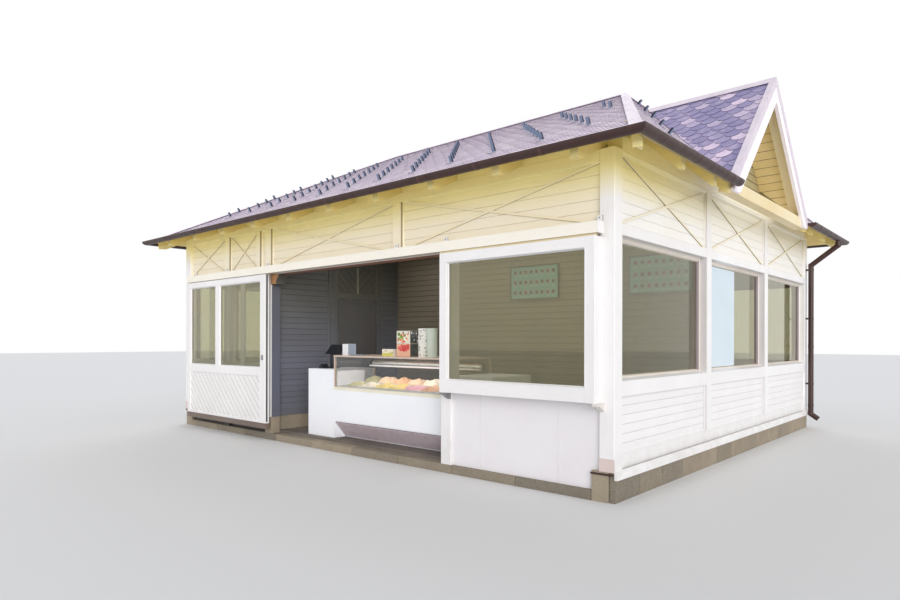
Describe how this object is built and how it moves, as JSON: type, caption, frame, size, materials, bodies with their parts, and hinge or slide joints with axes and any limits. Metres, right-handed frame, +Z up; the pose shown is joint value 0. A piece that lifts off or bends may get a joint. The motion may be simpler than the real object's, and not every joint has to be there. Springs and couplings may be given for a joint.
{
  "type": "wooden market hut",
  "caption": "Timber market hut on a stone plinth with a hipped shingle roof, side gables, wide serving opening, sliding front leaf, hung window and ice cream counter.",
  "frame": {"origin": "centre of the plan at ground level", "axes": "+X along the front to the right as seen from the market, +Y to the back, +Z up; the front faces -Y"},
  "size_m": [10.062, 8.742, 5.582],
  "materials": {
    "white_timber": "weathered white paint",
    "cream_timber": "cream paint on boards",
    "brace_timber": "cream paint",
    "grey_timber": "dark grey paint on boards",
    "stone": "sawn stone blocks",
    "concrete": "floor screed",
    "shingles": "fine flat shingles",
    "scale_tiles": "scalloped tiles",
    "sheet_metal": "painted sheet metal",
    "brown_metal": "brown painted metal",
    "steel": "weathered steel",
    "window_glass": "clear",
    "case_glass": "clear",
    "counter_white": "white laminate",
    "grille_metal": "grey paint",
    "case_metal": "satin",
    "goods_card": "printed card and dark plastic",
    "screen_plastic": "dark"
  },
  "bodies": {
    "hut": {"corner_posts": "white_timber", "wall_posts": "white_timber", "wall_panels": "white_timber", "front_wall_panels": "white_timber", "sill_rails": "white_timber", "head_rails": "white_timber", "base_boards": "white_timber", "leaf_track": "white_timber", "hung_window_frame": "white_timber", "window_frames": "white_timber", "gable_barges": "white_timber", "friezes": "cream_timber", "wall_plates": "cream_timber", "rafters": "cream_timber", "gable_walls": "cream_timber", "gable_frames": "cream_timber", "frieze_braces": "brace_timber", "corbel": "grey_timber", "partition": "grey_timber", "door_frame": "grey_timber", "back_room_wall": "grey_timber", "plinth": "stone", "partition_base": "stone", "floor_slab": "concrete", "front_roof": "shingles", "back_roof": "shingles", "right_roof": "scale_tiles", "left_roof": "scale_tiles", "gable_roofs": "scale_tiles", "roof_caps": "sheet_metal", "gutters": "brown_metal", "downpipes": "brown_metal", "track_fittings": "steel", "window_glass": "window_glass", "display_glass": "case_glass", "counter": "counter_white", "counter_grille": "grille_metal", "display_case": "case_metal", "counter_goods": "goods_card", "menu_screens": "screen_plastic"},
    "sliding_leaf": {"leaf_frame": "white_timber", "leaf_panel": "white_timber", "leaf_glass": "window_glass", "leaf_hangers": "steel"},
    "service_door": {"service_door": "grey_timber"}
  },
  "joints": [
    {"name": "leaf_slide", "type": "slide", "parent": "hut", "child": "sliding_leaf", "axis": [1, 0, 0], "range_m": [0, 3.735]},
    {"name": "door_hinge", "type": "hinge", "parent": "hut", "child": "service_door", "pos_m": [-1.589, -1.502, 0.14], "axis": [0, 0, 1], "range_deg": [0, 100]}
  ]
}
